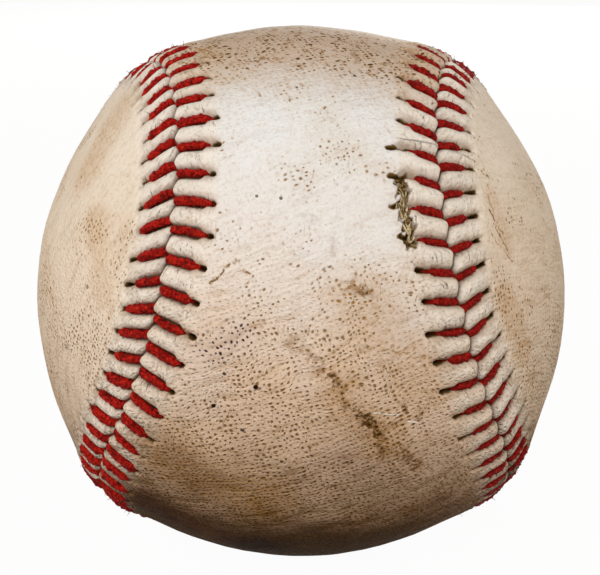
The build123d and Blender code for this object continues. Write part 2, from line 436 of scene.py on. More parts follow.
def leather_top(side, distance, off, reach):
    """The leather's height over the plain ball, mm, and how much of a place is groove, valley and hole."""
    station, puff, gap, row = across_stitch(side, distance, off)
    beside = np.abs(gap)
    fat = swell(distance)
    past = off - hole_off[side][station]
    past_slit = past - slit_length[side][station]
    dip = dip_off(side, station, distance)
    pinch = ramp(dip - pinch_before, dip + pinch_after, off)
    floor_half = (groove_half + fat_groove_more * fat) * (1 - pinch_half_share * pinch)
    rise = np.clip((beside - floor_half) / (finger_half - fat_finger_less * fat), 0, 1)
    finger = np.sqrt(1 - (1 - rise) ** 2)
    tip = np.sqrt(1 - (1 - np.clip(off / edge_round, 0, 1)) ** 2)
    shown = 1 - ramp(-show_before, show_after, off - row)
    depth = (groove_depth - fat_depth_less * fat - pinch_depth_less * pinch) * shown
    puffed = finger * tip * (1 + (puff_size[side][puff] - 1) * shown)
    slit_start = -slit_before - thin_slit_more * (1 - fat)
    ends = ramp(slit_start - slit_fade, slit_start + slit_fade_in, past)
    ends = ends * (1 - ramp(0, slit_fade, past_slit))
    slit = np.exp(-((gap / (slit_half + slit_half_more * ramp(slit_start, slit_full, past))) ** 2)) * ends
    mouth = np.exp(-(((gap**2 + (past_slit + mouth_back) ** 2) / mouth_half**2) ** mouth_power))
    hole = np.maximum(slit, mouth)
    lip = np.exp(-(((beside - lip_off) / lip_half) ** 2)) * ends
    height = welt_height(off, reach) - depth + depth * puffed - hole_depth * hole + lip_height * lip
    groove = (1 - finger * tip) * shown * (1 - pinch_clean_share * pinch)
    valley = (1 - ramp(valley_near, valley_far, beside)) * shown
    return height, groove, valley, hole


print("zigzag of the edges, mm:", round(float(np.abs(seam_shift(seam_steps)).max()), 2))

# %% Lay a flat grid along the seam
on_axis = 1e-6


def select_only(*pieces):
    """Selects these pieces and makes the last one active."""
    bpy.ops.object.select_all(action="DESELECT")
    for piece in pieces:
        piece.select_set(True)
        bpy.context.view_layer.objects.active = piece


def add_grid(name):
    """A flat grid with the rows and columns of a panel, and the column and the row of each of its points."""
    select_only()
    last_row = len(row_off) - 1
    bpy.ops.mesh.primitive_grid_add(x_subdivisions=column_count, y_subdivisions=last_row, size=2)
    panel = bpy.context.object
    panel.name = panel.data.name = name
    flat = np.zeros(len(panel.data.vertices) * 3)
    panel.data.vertices.foreach_get("co", flat)
    flat = flat.reshape(-1, 3)
    column = np.rint((flat[:, 0] + 1) / 2 * column_count).astype(int) % column_count
    row = np.rint((flat[:, 1] + 1) / 2 * last_row).astype(int)
    return panel, column, row


def panel_columns(side, middle):
    """Each column's distance along the seam, its ways outward and into the panel, and its reach in mm."""
    place = tip_length / 2 + np.arange(column_count) * seam_length / column_count
    outward, forward = seam_at(place)
    inward = side * np.cross(outward, forward)
    on_side = np.sign(outward @ middle)
    reach = np.arctan2(np.abs(outward @ middle), -on_side * (inward @ middle)) * leather_radius
    own_tip = (np.abs(outward @ middle) < on_axis) & (np.abs(inward @ middle) < on_axis)
    reach[own_tip] = tip_angle * leather_radius
    return place, outward, inward, reach


print("widest middle of a panel, mm:", round(float(panel_columns(waist_side, across)[3].max()), 2))

# %% Finish a mesh
hide_map_size = 100


def close_mesh(gap):
    """Merges the active piece's doubles within a gap in mm and turns its faces outwards."""
    bpy.ops.object.mode_set(mode="EDIT")
    bpy.ops.mesh.select_all(action="SELECT")
    bpy.ops.mesh.remove_doubles(threshold=gap * mm)
    bpy.ops.mesh.select_all(action="SELECT")
    bpy.ops.mesh.normals_make_consistent(inside=False)
    bpy.ops.object.mode_set(mode="OBJECT")


def count_triangles(piece):
    """How many triangles a piece has."""
    return sum(len(face.vertices) - 2 for face in piece.data.polygons)


def keep_masks(mesh, **masks):
    """Keeps values of a mesh's points for its finish, such as how much of a point is groove or hole."""
    for mask_name, mask in masks.items():
        attribute = mesh.attributes.new(mask_name, "FLOAT", "POINT")
        attribute.data.foreach_set("value", mask.astype(np.float32))


def map_hide(mesh, direction, side, middle):
    """Gives a panel a flat map of its hide, by the distances along its middle line and to one side of it."""
    front = waist * side
    around = np.arctan2(direction @ np.cross(middle, front), direction @ front) * leather_radius
    aside = np.arcsin(np.clip(direction @ middle, -1, 1)) * leather_radius
    corner = np.zeros(len(mesh.loops), np.int32)
    mesh.loops.foreach_get("vertex_index", corner)
    hide = np.stack((around[corner], aside[corner]), 1) / hide_map_size
    mesh.uv_layers[0].data.foreach_set("uv", hide.astype(np.float32).ravel())
    mesh.uv_layers[0].name = "hide"


print("the hide's map, mm in a unit:", hide_map_size)

# %% Wrap the grid round the ball
shift_end = 4
under_welt, under_start, under_end = 1.1, 5.6, 9.5
panel_merge = 0.004


def make_panel(name, side, middle):
    """One closed panel of leather on one side of the seam; middle is square to its middle line's plane."""
    panel, column, row = add_grid(name)
    place, outward, inward, reach = panel_columns(side, middle)
    distance = place[column]
    off = row_off[row] + row_share[row] * (reach[column] - band_end)
    height, groove, valley, hole = leather_top(side, distance, off, reach[column])
    side_step = side * seam_shift(distance) * (1 - ramp(0, shift_end, off))
    angle = (off + side_step) / leather_radius
    direction = np.cos(angle)[:, None] * outward[column] + np.sin(angle)[:, None] * inward[column]

    tear, flap, pit, clear = torn_leather(direction, distance, off)
    hole = hole * clear
    height = height + lumps(direction * leather_radius)
    height = height - tear_depth * np.maximum(tear, pit) + flap_height * flap
    under = under_welt * (1 - ramp(under_start, under_end, off)) - leather_thickness
    radius = leather_radius + height * (1 - row_inward[row]) + under * row_inward[row]
    mesh = panel.data
    mesh.vertices.foreach_set("co", (direction * radius[:, None] * mm).ravel())

    keep_masks(mesh, groove=groove, valley=valley, hole=hole, tear=tear, pit=pit, off=off, along=distance)
    map_hide(mesh, direction, side, middle)
    close_mesh(panel_merge)
    bpy.ops.object.shade_smooth()
    print(name, "triangles:", count_triangles(panel))
    return panel


leather_waist = make_panel("leather_panel_waist", waist_side, across)
leather_sides = make_panel("leather_panel_sides", other_side, along)

# %% [markdown]
# ## The red threads
# Two waxed cotton threads run the whole seam, one from each side in turn. A thread is a soft twist of
# plies, so a path that is swept with a three-lobed outline and twisted as it goes looks right close up. A
# smooth tube would look like wire. The path goes up through a hole, along its groove, down between the
# edges, and under the other panel to its next hole. A little noise then roughens it, and short loose
# fibres stand out of it where it shows.

# %% Follow one stitch
under_radius = 35.62
hole_tries = 5
thread_half, fat_half_more, low_half_more, high_half_more = 0.47, 0.04, 0.16, 0.12
half_wave, half_wave_turn = 0.05, 2.4
thread_sink, fat_lift, low_lift, high_lift = -0.28, 0.36, 0.15, 0.14
low_shares, high_shares = (0.1, -0.7), (0.5, 0.85)


def stitch_path(station, first_side):
    """Points of one stitch: distance along the seam, distance to the waist side, radius, thickness, mm."""
    side = first_side if station % 2 == 0 else -first_side
    hole_place = (first_hole_share - station) * pitch
    for _ in range(hole_tries):
        hole_place = (first_hole_share - station + float(stitch_drift(side, hole_place))) * pitch
    hole = hole_off[side][station]
    outward = seam_at(hole_place)[0][0]
    fat = float(swell(hole_place))
    low = fat * float(ramp(*low_shares, outward[2]))
    high = fat * float((1 - proud(hole_place)) * ramp(*high_shares, outward @ view_up))
    thick = thread_half + fat_half_more * fat + low_half_more * low + high_half_more * high
    thick += half_wave * math.sin(station * half_wave_turn + side)
    top = leather_radius + thread_sink + fat_lift * fat + low_lift * low + high_lift * high
    dip = float(dip_off(side, station, hole_place))
    points = []
    # out of the hole, along the groove and down at the edge: distance from the seam, radius, half width
    for off, radius, size in (
        (hole - 0.2, under_radius, 0.38),
        (hole - 0.4, under_radius + 0.6, 0.38),
        (dip + 0.5, leather_radius + 0.1, thick * 0.9),
        (dip + 0.2, top + 1.1, thick * 1.05),
        (dip - 0.8, top + 1.35, thick * 1.05),
        (1.3, top + 1.42, thick * 1.12),
        (0.4, top + 1.25, thick * 1.08),
        (0.0, under_radius + 0.9, 0.42),
        (-0.5, under_radius, 0.4),
    ):
        place = hole_place - float(slant(side, hole_place, off)) * pitch + lean[side][station]
        points.append((place, side * off, radius, size))
    return points


print("points of a stitch:", len(stitch_path(0, waist_side)))

# %% Draw strands
frays_per_stitch = 9
shown_points = slice(3, 7)
last_shown = 2.6
fray_root_share, fray_spread, fray_stray = 0.85, 1.2, 0.8
fray_lengths, fray_bend, fray_half = (0.15, 0.42), 0.22, 0.055
fray_steps, fray_radii = (0, 0.5, 1), (1, 0.65, 0.3)


def start_curve(name):
    """An empty curve, selected by itself."""
    select_only()
    bpy.ops.curve.primitive_nurbs_path_add()
    made = bpy.context.object
    made.name = made.data.name = name
    made.data.splines.clear()
    return made


def add_strand(piece, points, radii):
    """Adds one smooth run to a curve, by points in mm, and gives it its thickness at each."""
    strand = piece.data.splines.new("NURBS")
    strand.points.add(len(points) - 1)
    strand.points.foreach_set("co", np.column_stack((np.array(points) * mm, np.ones(len(points)))).ravel())
    strand.points.foreach_set("radius", radii)
    strand.order_u = 3
    strand.use_endpoint_u = True
    return strand


def strands_to_mesh(piece, half_width, steps, roundness):
    """Makes the active curve's strands round, with a half width in mm, and then a mesh."""
    piece.data.resolution_u = steps
    piece.data.bevel_depth = half_width * mm
    piece.data.bevel_resolution = roundness
    piece.data.use_fill_caps = True
    bpy.ops.object.convert(target="MESH")


def fray_thread(name, first_side):
    """Short loose fibres that stand out of a thread where it shows."""
    frays = start_curve(name)
    for station in range(stitch_count):
        shown = np.array(stitch_path(station, first_side)[shown_points])
        for _ in range(frays_per_stitch):
            first = dice.uniform(0, last_shown)
            share = first % 1
            place, off, radius, size = shown[int(first)] * (1 - share) + shown[int(first) + 1] * share
            outward, forward = (way[0] for way in seam_at(place))
            tilt = off / leather_radius
            up = unit(math.cos(tilt) * outward + math.sin(tilt) * np.cross(outward, forward))
            around = dice.uniform(-fray_spread, fray_spread)
            root_way = up * math.cos(around) + forward * math.sin(around)
            root = up * radius + root_way * size * fray_root_share
            heading = unit(root_way + dice.normal(0, fray_stray, 3)) * dice.uniform(*fray_lengths)
            bend = dice.normal(0, fray_bend, 3)
            points = [root + heading * step + bend * step**2 for step in fray_steps]
            add_strand(frays, points, fray_radii)
    strands_to_mesh(frays, fray_half, steps=2, roundness=0)
    return frays


print("loose fibres on a thread:", frays_per_stitch * stitch_count)

# %% Sew the threads
ply_count, ply_depth, outline_count = 3, 0.09, 12
twist_length = 2.6
fuzz_sizes = ((1.5, 0.34), (0.5, 0.5))
thread_merge = 0.002


def make_plies():
    """The outline of a thread across its run: round, with a lobe for each ply, one mm in radius."""
    select_only()
    bpy.ops.curve.primitive_bezier_circle_add(radius=1)
    plies = bpy.context.object
    plies.data.splines.clear()
    outline = plies.data.splines.new("POLY")
    outline.points.add(outline_count - 1)
    for index, point in enumerate(outline.points):
        turned = index / outline_count * 2 * math.pi
        reach = mm * (1 + ply_depth * math.cos(ply_count * turned))
        point.co = (reach * math.cos(turned), reach * math.sin(turned), 0, 1)
    outline.use_cyclic_u = True
    return plies


def make_thread(name, first_side):
    """One thread along the whole seam, its stitches on one side and the other in turn."""
    route = [point for station in range(stitch_count) for point in stitch_path(station, first_side)]
    place, off, radius, size = np.array(route).T
    outward, forward = seam_at(place)
    angle = (off / leather_radius)[:, None]
    direction = np.cos(angle) * outward + np.sin(angle) * np.cross(outward, forward)
    points = direction * radius[:, None]
    runs = np.concatenate(([0], np.cumsum(np.linalg.norm(np.diff(points, axis=0), axis=1))))

    plies = make_plies()
    thread = start_curve(name)
    spline = add_strand(thread, points, size)
    spline.points.foreach_set("tilt", runs / twist_length * 2 * math.pi)
    thread.data.resolution_u = 6
    thread.data.bevel_mode = "OBJECT"
    thread.data.bevel_object = plies
    thread.data.use_fill_caps = True
    thread.data.twist_mode = "MINIMUM"
    select_only(thread)
    bpy.ops.object.convert(target="MESH")
    bpy.data.objects.remove(plies)
    for lump, strength in fuzz_sizes:
        fibres = bpy.data.textures.new(name + "_fibres", "CLOUDS")
        fibres.noise_scale = lump * mm
        fuzz = thread.modifiers.new("fibres", "DISPLACE")
        fuzz.texture = fibres
        fuzz.strength = strength * mm
        bpy.ops.object.modifier_apply(modifier=fuzz.name)
    close_mesh(thread_merge)
    select_only(fray_thread(name + "_frays", first_side), thread)
    bpy.ops.object.join()
    bpy.ops.object.shade_smooth()
    print(name, "length, m:", round(float(runs[-1]) * mm, 3), "triangles:", count_triangles(thread))
    return thread


thread_one = make_thread("red_thread_one", waist_side)
thread_two = make_thread("red_thread_two", other_side)

# %% [markdown]
# ## Torn leather
# Beside the right seam the row of holes has torn open. Long fibres of leather still bridge the tear. They
# are thin tapering strands, drawn as one curve with many short splines, and made a mesh at the end.

# %% Draw the torn fibres
fibre_stray, fibre_aside, fibre_bend = 0.3, 0.3, 0.16
fibre_lengths, fibre_sizes, fibre_half = (1.5, 4.2), (0.4, 1.3), 0.12
fibre_lift, fibre_arch, fibre_arch_shares = 0.5, 0.75, (0.2, 1.0)
fibre_place_shares = (0.08, 0.95)
fibre_count, taper_start, taper_span = 22, 0.1, 0.8
fibre_steps = (0, 0.25, 0.5, 0.75, 1)


def make_torn_fibres(name, count):
    """Strands of torn leather that lie along and across the tear."""
    steps = np.linalg.norm(np.diff(tear_line, axis=0), axis=1)
    marks = np.concatenate(([0], np.cumsum(steps)))
    fibres = start_curve(name)
    for _ in range(count):
        middle_at = dice.uniform(*fibre_place_shares) * marks[-1]
        middle = np.array([np.interp(middle_at, marks, tear_line[:, axis]) for axis in range(3)])
        outward = unit(middle)
        ahead = unit(np.cross(np.cross(outward, tear_line[-1] - tear_line[0]), outward))
        sideways = np.cross(outward, ahead)
        heading = dice.normal(0, fibre_stray)
        run = ahead * math.cos(heading) + sideways * math.sin(heading)
        middle = middle + sideways * dice.normal(0, fibre_aside)
        length = dice.uniform(*fibre_lengths)
        thickness = dice.uniform(*fibre_sizes)
        points = []
        for share in fibre_steps:
            bend = np.cross(outward, run) * dice.normal(0, fibre_bend)
            bent = middle + run * length * (share - 0.5) + bend
            arch = fibre_arch * math.sin(math.pi * share) * dice.uniform(*fibre_arch_shares)
            points.append(unit(bent) * (leather_radius + fibre_lift + arch))
        tapers = [math.sin(math.pi * (taper_start + taper_span * share)) for share in fibre_steps]
        add_strand(fibres, points, [thickness * taper for taper in tapers])
    strands_to_mesh(fibres, fibre_half, steps=4, roundness=1)
    bpy.ops.object.shade_smooth()
    print(name, "strands:", count, "faces:", len(fibres.data.polygons))
    return fibres


torn_fibres = make_torn_fibres("torn_leather_fibres", fibre_count)

# %% [markdown]
# ## Nodes and colours
# Every finish is made of shader nodes, so it stays sharp at any size and needs no picture. Colours are
# written as on a colour picker and turned into the linear values that the renderer counts with. One small
# helper adds a node of any kind. A table gives each kind a plain word, with the node's own fields, the
# sockets that are filled in turn, and the output that is passed on.

# %% Name the nodes in use
node_kinds = {
    "mix": ("Mix", {"data_type": "RGBA"}, (0, 6, 7), 2),
    "multiply": ("Mix", {"data_type": "RGBA", "blend_type": "MULTIPLY"}, (0, 6, 7), 2),
    "between": ("Mix", {}, (0, 2, 3), 0),
    "step": (
        "MapRange", {"interpolation_type": "SMOOTHSTEP"},
        ("Value", "From Min", "From Max", "To Min", "To Max"), 0,
    ),
    "times": ("Math", {"operation": "MULTIPLY"}, (0, 1), 0),
    "plus": ("Math", {"operation": "ADD"}, (0, 1), 0),
    "minus": ("Math", {"operation": "SUBTRACT"}, (0, 1), 0),
    "most": ("Math", {"operation": "MAXIMUM"}, (0, 1), 0),
    "clamp": ("Clamp", {}, ("Value", "Min", "Max"), 0),
    "scaled": ("VectorMath", {"operation": "SCALE"}, (0, "Scale"), 0),
    "from": ("VectorMath", {"operation": "SUBTRACT"}, (0, 1), 0),
    "moved": ("VectorMath", {"operation": "MULTIPLY_ADD"}, (0, 1, 2), 0),
    "unit": ("VectorMath", {"operation": "NORMALIZE"}, (0,), 0),
    "along": ("VectorMath", {"operation": "DOT_PRODUCT"}, (0, 1), "Value"),
    "apart": ("VectorMath", {"operation": "DISTANCE"}, (0, 1), "Value"),
    "length": ("VectorMath", {"operation": "LENGTH"}, (0,), "Value"),
    "turned": ("Mapping", {}, ("Vector", "Rotation"), 0),
    "drawn": ("Mapping", {"vector_type": "TEXTURE"}, ("Vector", "Rotation", "Scale"), 0),
    "split": ("SeparateXYZ", {}, (0,), "X"),
    "split_colour": ("SeparateColor", {}, (0,), 0),
    "joined": ("CombineXYZ", {}, (0, 1), 0),
    "noise": ("TexNoise", {}, ("Vector", "Scale", "Detail", "Roughness"), "Fac"),
    "cells": ("TexVoronoi", {}, ("Vector", "Scale", "Randomness"), "Distance"),
    "wave": ("TexWave", {}, ("Vector", "Scale", "Distortion", "Detail", "Detail Scale"), "Fac"),
    "coordinates": ("TexCoord", {}, (), "Object"),
    "hide_map": ("UVMap", {"uv_map": "hide"}, (), 0),
    "mask": ("Attribute", {}, (), "Fac"),
    "bump": ("Bump", {}, ("Height", "Strength", "Distance"), 0),
    "light_path": ("LightPath", {}, (), "Is Camera Ray"),
    "diffuse": ("BsdfDiffuse", {}, ("Color",), 0),
    "glow": ("Emission", {}, ("Color", "Strength"), 0),
    "mix_shader": ("MixShader", {}, (0, 1, 2), 0),
    "background": ("Background", {}, ("Color", "Strength"), 0),
    "surface": ("OutputMaterial", {}, ("Surface",), None),
    "world": ("OutputWorld", {}, ("Surface",), None),
}
print("kinds of node:", len(node_kinds))


# %% Helpers for finishes
def colour(code):
    """A colour code such as e6dccf as linear red, green, blue and alpha."""
    parts = [int(code[start : start + 2], 16) / 255 for start in (0, 2, 4)]
    linear = [part / 12.92 if part <= 0.04045 else ((part + 0.055) / 1.055) ** 2.4 for part in parts]
    return linear + [1.0]


def add(tree, kind, *given, **settings):
    """Adds a node; what is given fills its sockets in turn, and settings are more of its own fields."""
    node_name, fields, sockets, output = node_kinds[kind]
    made = tree.nodes.new("ShaderNode" + node_name)
    for field, setting in {**fields, **settings}.items():
        setattr(made, field, setting)
    for socket, source in zip(sockets, given):
        if isinstance(source, bpy.types.NodeSocket):
            tree.links.new(source, made.inputs[socket])
        else:
            made.inputs[socket].default_value = colour(source) if isinstance(source, str) else source
    return None if output is None else made.outputs[output]


def new_finish(name):
    """A new material, the helper that adds nodes to it, and the place on the piece in mm."""
    finish = bpy.data.materials.new(name)
    finish.use_nodes = True
    node = functools.partial(add, finish.node_tree)
    return finish, node, node("scaled", node("coordinates"), 1 / mm)


def feed_shader(finish, node, skin, rough, height, specular=0.5, sheen=0.0):
    """Gives a material's shader its colour, its roughness, its shine, and its relief from a height in mm."""
    tree = finish.node_tree
    shader = tree.nodes["Principled BSDF"]
    shader.inputs["Specular IOR Level"].default_value = specular
    shader.inputs["Sheen Weight"].default_value = sheen
    sources = {"Base Color": skin, "Roughness": rough, "Normal": node("bump", height, 1.0, mm)}
    for socket, source in sources.items():
        tree.links.new(source, shader.inputs[socket])
    print(finish.name, "nodes:", len(tree.nodes))


print("middle grey as the renderer counts it:", round(colour("808080")[0], 3))

# %% [markdown]
# ## Marks on the leather
# The ball has been played with: stains, black specks, scratches and scuffs lie where the picture shows
# them. Each mark is a short run between two places on the leather. The shader measures how far a point is
# from that run, so a mark has the same soft edge at any distance.

# %% Mark places: two pixels of the picture, a half width in pixels and a strength
waist_marks = {
    "brown": [
        (329, 374, 340, 386, 6.0, 0.95), (340, 386, 348, 405, 6.5, 0.8), (348, 405, 362, 417, 8.5, 0.85),
        (362, 417, 378, 431, 9.5, 1.0), (378, 431, 382, 455, 8.0, 0.85), (382, 455, 400, 446, 5.0, 0.6),
        (398, 448, 416, 465, 8.0, 0.9), (350, 286, 366, 292, 8.0, 0.85), (290, 340, 328, 374, 8.0, 0.6),
        (403, 403, 404, 411, 3.0, 1.0), (420, 408, 417, 418, 4.5, 1.0), (357, 64, 353, 52, 4.5, 0.7),
        (331, 240, 333, 252, 4.0, 0.35), (300, 215, 316, 221, 4.0, 0.25), (386, 440, 392, 470, 5.0, 0.35),
    ],
    "scratch": [
        (214, 283, 237, 260, 1.8, 0.8), (243, 270, 254, 275, 1.8, 0.7), (254, 275, 247, 284, 1.8, 0.7),
        (252, 326, 294, 317, 1.0, 0.6), (238, 45, 290, 102, 1.6, 0.7), (222, 58, 262, 99, 1.6, 0.7),
        (262, 38, 304, 88, 1.6, 0.6), (300, 34, 352, 76, 1.8, 0.7), (322, 34, 372, 80, 1.8, 0.7),
        (343, 93, 388, 136, 0.9, 0.4), (168, 440, 172, 482, 1.1, 0.6), (176, 436, 180, 470, 1.0, 0.55),
        (160, 446, 164, 474, 1.0, 0.5), (378, 350, 402, 352, 0.7, 0.6), (402, 352, 412, 357, 0.7, 0.6),
    ],
    "pale": [
        (374, 413, 398, 414, 0.9, 0.8), (407, 420, 416, 421, 1.1, 0.9),
    ],
    "black": [
        (256, 387, 256, 387, 2.8, 1.0), (214, 405, 214, 405, 2.2, 1.0), (225, 373, 225, 373, 1.8, 0.9),
        (241, 430, 243, 431, 1.5, 0.9), (352, 463, 352, 463, 1.5, 0.9), (297, 89, 297, 89, 1.6, 0.8),
        (354, 78, 354, 78, 1.9, 0.85), (257, 197, 257, 197, 1.7, 0.8), (281, 199, 281, 199, 1.7, 0.8),
    ],
    "scuff": [
        (236, 48, 392, 58, 95.0, 1.0), (365, 305, 420, 385, 36.0, 0.45), (345, 296, 372, 300, 22.0, 0.45),
        (340, 385, 385, 440, 26.0, 0.4), (170, 450, 260, 500, 40.0, 0.5),
    ],
    "bruise": [
        (212, 353, 240, 336, 19.0, 1.0),
    ],
    # painted shade: patches that darken the lower ball, most at the lower left
    "painted_shade": [
        (150, 500, 250, 548, 48.0, 0.9), (160, 440, 205, 480, 30.0, 0.3),
        (330, 455, 360, 430, 20.0, 0.15),
    ],
}
side_marks = {
    "brown": [
        (478, 190, 492, 214, 2.0, 0.3),
    ],
    "scratch": [
        (486, 210, 494, 228, 1.2, 0.8), (490, 226, 508, 252, 1.3, 0.85), (488, 236, 512, 262, 1.0, 0.7),
        (494, 222, 502, 236, 1.1, 0.7), (484, 196, 490, 214, 1.0, 0.6), (112, 222, 124, 262, 0.9, 0.3),
    ],
    "black": [
        (88, 287, 88, 287, 2.6, 0.6), (65, 346, 67, 348, 2.6, 0.4),
    ],
    "scuff": [
        (488, 200, 508, 250, 13.0, 0.4), (96, 220, 106, 290, 20.0, 0.4), (500, 300, 520, 350, 20.0, 0.5),
        (90, 165, 125, 112, 34.0, 0.5),
    ],
}
print("marks:", sum(len(marks) for table in (waist_marks, side_marks) for marks in table.values()))

# %% Measure a place against its marks
mark_fade_in, mark_fade_out = 0.75, 0.25
mm_per_pixel = leather_radius / ball_pixel_radius
print("a pixel at the ball's outline, mm:", round(mm_per_pixel, 3))


def marked(node, where, marks, soft=1.0):
    """How much of a place is marked, from 0 to 1, measured on the ball that the marks are drawn on."""
    where = node("scaled", node("unit", where), leather_radius + mark_raise)
    total = None
    for x_first, y_first, x_second, y_second, half_width, strength in marks:
        first, second = leather_under((x_first, y_first)), leather_under((x_second, y_second))
        length = float(np.linalg.norm(second - first))
        away = node("from", where, first)
        if length > 0:
            run = (second - first) / length
            passed = node("clamp", node("along", away, run), 0.0, length)
            gap = node("apart", away, node("scaled", run, passed))
        else:
            gap = node("length", away)
        half_mm = half_width * mm_per_pixel
        near, far = half_mm * (1 - mark_fade_in * soft), half_mm * (1 + mark_fade_out * soft)
        mark = node("step", gap, near, far, strength, 0.0)
        total = mark if total is None else node("most", total, mark)
    return total


# %% [markdown]
# ## Alum-tanned leather
# The cover is white leather, rubbed with mud and worn. It shows rows of pores about two thirds of a
# millimetre apart, fine creases and tan blotches. Painted shade darkens the grooves and holes along the seam,
# and the lower ball grows darker towards the bottom, partly by dirt and partly by painted shade. The pores
# follow a flat map of the hide, and the blotches lie in space, so that they run on from one place to the
# next. The finish is built up in steps that share their results: dirt, grain, skin, marks and seam.
# A noise's scale is the number of its clouds in a millimetre. A dark tone laid thinly on white turns grey,
# so pores and scratches get a golden rim first and a dark core after it.

# %% Dirt and painted shade low on the leather
# first two heights: tan and earth, partly dirt and partly painted shade; third: painted shade at the bottom
dust_and_shade_heights, earth_and_shade_heights, bottom_shade_heights = (30.0, -16.0), (-6.0, -34.0), (-22.0, -32.0)
dirt_cloud = 30.0
band_edges = (3.6, 6.4)
print("dust begins, mm above the ball's centre:", dust_and_shade_heights[0])


def wavered(look, start, scale, amount):
    """Places moved about by a cloudy noise, by half of an amount in mm at most."""
    cloud = look.node("noise", look.place, scale, 3.0, 0.5).node.outputs["Color"]
    return look.node("moved", look.node("from", cloud, (0.5,) * 3), (amount,) * 3, start)


def lay(look, *layers):
    """Lays colours over the leather, each by a mask and a strength."""
    for mask, strength, tint in layers:
        share = mask if strength == 1 else look.node("times", mask, strength)
        look.skin = look.node("mix", share, look.skin, tint)


def gather_dirt(look):
    """Dirt and painted shade gather low on the ball, in clouds, and leave a pale band along the seam."""
    node, place = look.node, look.place
    cloudy = node("times", node("minus", node("noise", place, 0.07, 4.0, 0.6), 0.5), dirt_cloud)
    height = node("plus", node("split", place).node.outputs["Z"], cloudy)
    look.dusty = node("step", height, *dust_and_shade_heights)
    look.earthy = node("step", height, *earth_and_shade_heights)
    look.grimy = node("step", height, *bottom_shade_heights)
    look.patchy = node("plus", node("noise", place, 0.11, 5.0, 0.65), node("times", look.dusty, 0.1))
    look.depth = node("plus", node("step", look.dusty, 0.0, 1.0, 0.25, 0.8), node("times", look.earthy, 0.7))
    look.off = node("mask", attribute_name="off")
    look.band = node("step", look.off, *band_edges, 1.0, 0.0)


# %% Grain of the leather
pore_size, swathe_size, row_size = (0.7, 0.62, 1.0), (7.0, 1.0, 1.0), (2.4, 0.34, 1.0)
hair_size, streak_size = (4.5, 0.22, 1.0), (6.0, 0.3, 1.0)
hair_turn, streak_turn = 0.9, -1.5
print("pores, mm apart:", pore_size[:2])


def grow_grain(look, row_turn):
    """Pores in wandering rows, some filled with dirt; swathes follow the rows and hairlines cross them."""
    node, place, patchy, band = look.node, look.place, look.patchy, look.band
    wander = wavered(look, node("scaled", node("hide_map"), hide_map_size), 0.16, 3.0)
    rows, hair_rows, streak_rows = ((0, 0, row_turn + turn) for turn in (0, hair_turn, streak_turn))
    pores = node("cells", node("drawn", wander, rows, pore_size), 1.0, 0.55, voronoi_dimensions="2D")
    look.chance, tightness = node("split_colour", pores.node.outputs["Color"]).node.outputs[:2]
    pore_away = node("times", pores, node("plus", node("times", tightness, 0.9), 0.75))
    look.pore = node("step", pore_away, 0.08, 0.38, 1.0, 0.0)
    look.wide_pore = node("step", pore_away, 0.2, 0.5, 1.0, 0.0)
    filled = node("step", node("minus", node("step", patchy, 0.47, 0.7), look.chance), -0.25, 0.45)
    look.pore_show = node("times", node("times", look.pore, filled), node("step", band, 0.0, 1.0, 1.0, 0.15))

    look.swathes = node("noise", node("drawn", wander, rows, swathe_size), 1.0, 4.0, 0.6)
    look.swathe = node("step", look.swathes, 0.5, 0.66)
    row = node("step", node("noise", node("drawn", wander, rows, row_size), 1.0, 3.0, 0.6), 0.5, 0.64)
    look.row = node("times", node("times", row, look.earthy), node("step", band, 0.0, 1.0, 1.0, 0.1))
    hairs = node("noise", node("drawn", wander, hair_rows, hair_size), 1.0, 2.0, 0.5)
    look.hair = node("times", node("step", hairs, 0.66, 0.72), node("step", patchy, 0.5, 0.66))
    streaks = node("noise", node("drawn", wander, streak_rows, streak_size), 1.0, 4.0, 0.65)
    look.streak = node("step", streaks, 0.56, 0.66)
    specks = node("step", node("noise", place, 3.0, 4.0, 0.65), 0.58, 0.7)
    look.speckle = node("times", specks, node("step", patchy, 0.42, 0.7, 0.2, 1.0))
    look.fine = node("noise", place, 1.9, 5.0, 0.65)


# %% Skin of the leather
waist_whites, side_whites = ("e8e8e7", "d9c7af"), ("eadece", "d5bb9d")
print("clean leather, linear:", [round(part, 2) for part in colour(waist_whites[0])[:3]])


def colour_skin(look, whites, dust):
    """White leather with tan blotches, under tan dirt and earth that are partly painted shade, a painted
    shade at the bottom, creases and filled pores.
    """
    node = look.node
    blotch = node("step", node("noise", look.place, 0.055, 5.0, 0.62), 0.45, 0.75)
    look.skin = node("mix", node("times", blotch, 0.5), *whites)
    lay(
        look,
        (look.band, 0.7, "f6eee4"),
        # tan, earth and near black low down: partly dirt, partly painted shade that darkens the bottom
        (look.dusty, dust, "e2b482"),
        (look.earthy, 0.85, "6c420a"),
        (look.grimy, 0.8, "2a1803"),
        (look.band, 0.55, "f6ede1"),
        (node("step", look.fine, 0.48, 0.74), 0.35, "c29b70"),
        (node("times", look.swathe, node("times", look.depth, 0.4)), 1, "a0763c"),
        (look.row, 0.5, "7a5418"),
        (look.speckle, 0.45, "a07030"),
        (look.hair, 0.6, "946420"),
        (look.pore_show, 0.75, "a87a30"),
        (node("step", look.pore_show, 0.3, 0.9, 0.0, 0.5), 1, "5c3c08"),
    )
    # caked dark in the pores low down: partly dirt, partly painted shade
    caked = node("times", look.earthy, node("most", look.pore, node("most", look.swathe, look.row)))
    lay(look, (caked, 0.8, "372103"))


# %% Marks of play, and patches of painted shade
print("kinds of mark:", ", ".join(waist_marks))


